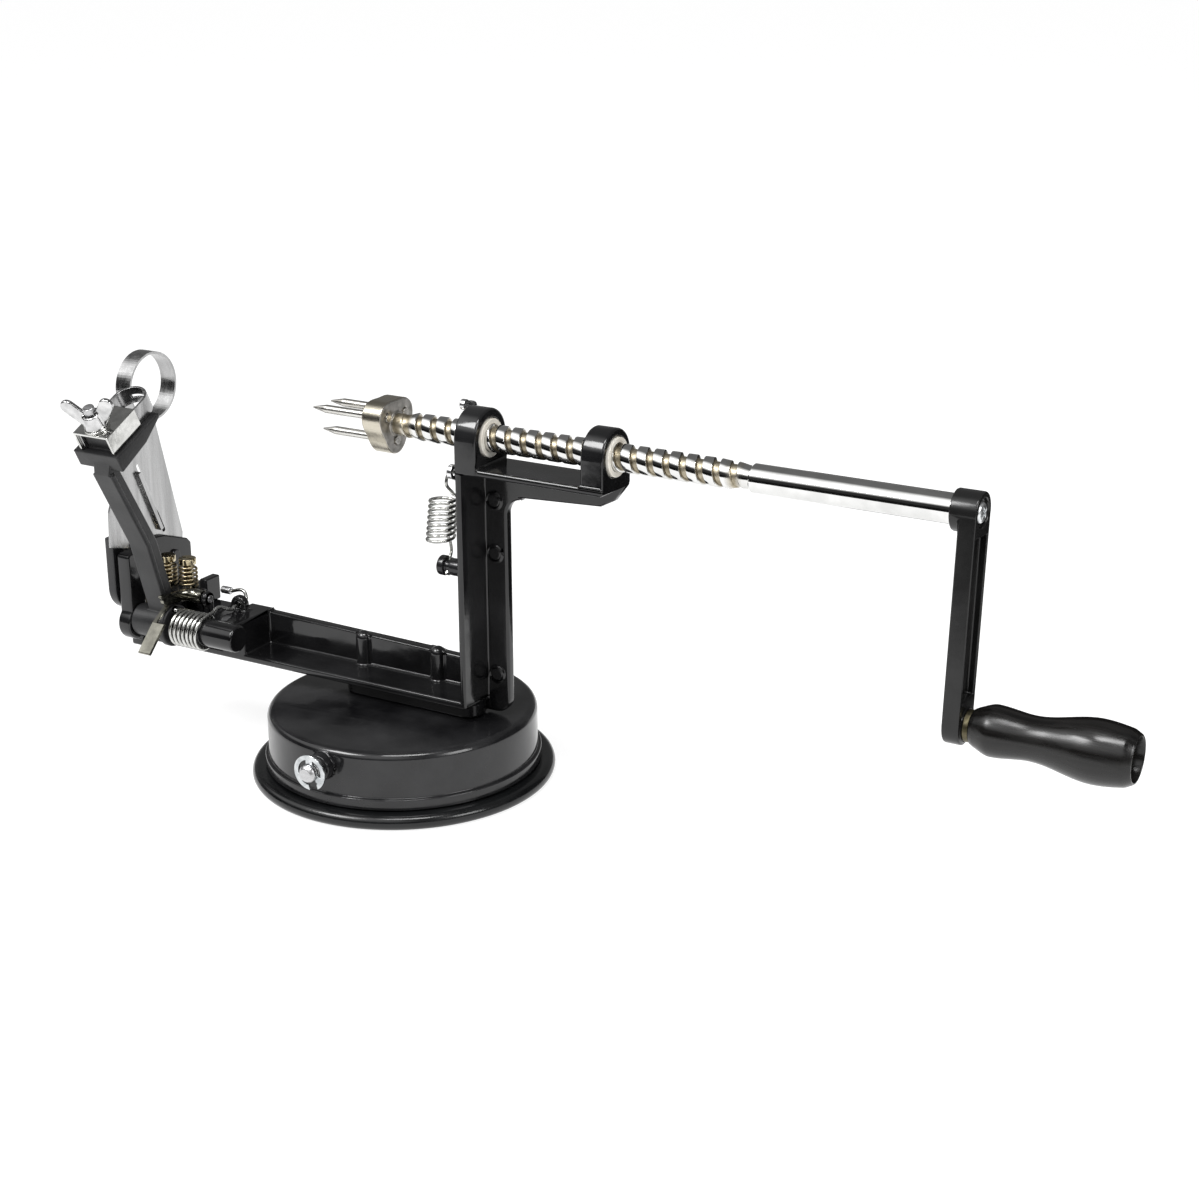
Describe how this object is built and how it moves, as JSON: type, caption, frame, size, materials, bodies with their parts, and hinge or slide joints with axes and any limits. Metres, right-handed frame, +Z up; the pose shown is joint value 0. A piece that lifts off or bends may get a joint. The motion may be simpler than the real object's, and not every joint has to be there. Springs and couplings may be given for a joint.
{
  "type": "apple peeler",
  "caption": "Hand cranked apple peeler, corer and slicer on a round suction base, with a feed screw, a pronged fork, a sprung peeling arm and a ring corer with a slicing blade.",
  "frame": {"origin": "Centre of the suction cup's underside, on the table", "axes": "+Z up, +X along the feed screw towards the crank, +Y away from the side that carries the peeling arm"},
  "size_m": [0.4063, 0.1256, 0.1494],
  "materials": {
    "enamel": "glossy black stove enamel",
    "rim_rubber": "black rubber with a dull sheen",
    "plain_steel": "plain bright steel",
    "clip_steel": "plated spring steel",
    "lever_chrome": "bright chrome plate",
    "bush_plastic": "off-white plastic",
    "screw_chrome": "bright chrome plate, darker in the groove",
    "fork_nickel": "warm nickel plate",
    "prong_steel": "polished steel",
    "crank_enamel": "glossy black enamel",
    "bright_screw": "bright plate",
    "brass": "yellow plated steel",
    "lacquered_wood": "black lacquered turned wood",
    "spring_wire": "plated spring wire",
    "satin_black": "satin black paint",
    "blade_steel": "brushed stainless steel",
    "clamp_chrome": "bright chrome plate",
    "wing_chrome": "bright chrome plate",
    "latch_nickel": "dull nickel plate",
    "spring_brass": "yellow plated wire"
  },
  "bodies": {
    "frame": {"frame_casting": "enamel", "base_shell": "enamel", "suction_cup": "rim_rubber", "base_bolts": "plain_steel", "release_pin": "plain_steel", "release_spring": "spring_wire", "spring_post": "enamel", "pivot_pin": "plain_steel", "torsion_spring": "spring_wire", "spring_sleeve": "plain_steel", "latch_pin": "plain_steel", "blade_bracket": "satin_black", "slicing_blade": "blade_steel", "blade_rivets": "plain_steel", "bracket_screws": "brass", "bracket_springs": "spring_brass"},
    "bushes": {"inner_bush": "bush_plastic", "outer_bush": "bush_plastic"},
    "shaft": {"feed_screw": "screw_chrome", "fork_hub": "fork_nickel", "fork_prongs": "prong_steel", "crank_arm": "crank_enamel", "crank_screw": "bright_screw", "grip_bolt": "brass", "grip_washer": "brass"},
    "grip": {"handle_grip": "lacquered_wood"},
    "release": {"release_lever": "lever_chrome"},
    "peeler": {"peeling_arm": "satin_black", "peeling_blade": "blade_steel", "blade_clamp": "clamp_chrome", "clamp_stud": "plain_steel", "clamp_washer": "clamp_chrome"},
    "wing": {"wing_nut": "wing_chrome"},
    "latch": {"latch_plate": "latch_nickel"},
    "cam": {"cam_shaft": "plain_steel", "cam_clip": "clip_steel", "suction_lever": "lever_chrome"},
    "plunger": {"suction_plunger": "bush_plastic"}
  },
  "joints": [
    {"name": "crank_turn", "type": "hinge", "parent": "frame", "child": "bushes", "pos_m": [0.088, 0, 0.136], "axis": [1, 0, 0], "range_deg": [-5400, 1080]},
    {"name": "screw_feed", "type": "slide", "parent": "bushes", "child": "shaft", "axis": [1, 0, 0], "range_m": [-0.0941, 0.019]},
    {"name": "grip_spin", "type": "hinge", "parent": "shaft", "child": "grip", "pos_m": [0.255, -0.00525, 0.0662], "axis": [1, 0, 0], "continuous": true},
    {"name": "release_lift", "type": "hinge", "parent": "frame", "child": "release", "pos_m": [0.03007, 0.0064, 0.117], "axis": [1, 0, 0], "range_deg": [-8, 0], "stiffness_Nm_per_rad": 0.3, "springref_deg": 17.19, "deforming": ["release_spring"]},
    {"name": "peeler_swing", "type": "hinge", "parent": "frame", "child": "peeler", "pos_m": [-0.101, -0.017, 0.0462], "axis": [1, 0, 0], "range_deg": [0, 30], "stiffness_Nm_per_rad": 0.35, "springref_deg": -28.65, "deforming": ["torsion_spring"]},
    {"name": "wing_turn", "type": "hinge", "parent": "peeler", "child": "wing", "pos_m": [-0.101, -0.04481, 0.13149], "axis": [0, -0.4384, 0.8988], "continuous": true},
    {"name": "latch_lift", "type": "hinge", "parent": "frame", "child": "latch", "pos_m": [-0.092, -0.007, 0.0558], "axis": [1, 0, 0], "range_deg": [-20, 0]},
    {"name": "cam_turn", "type": "hinge", "parent": "frame", "child": "cam", "pos_m": [0, 0, 0.0205], "axis": [0, 1, 0], "range_deg": [0, 170]},
    {"name": "plunger_lift", "type": "slide", "parent": "frame", "child": "plunger", "axis": [0, 0, 1], "range_m": [0, 0.0024], "deforming": ["suction_cup"]}
  ],
  "couplings": [
    {"joint": "screw_feed", "follows": "crank_turn", "m_per_rad": 0.00099631},
    {"joint": "plunger_lift", "follows": "cam_turn", "m_per_rad": 0.00080274}
  ]
}
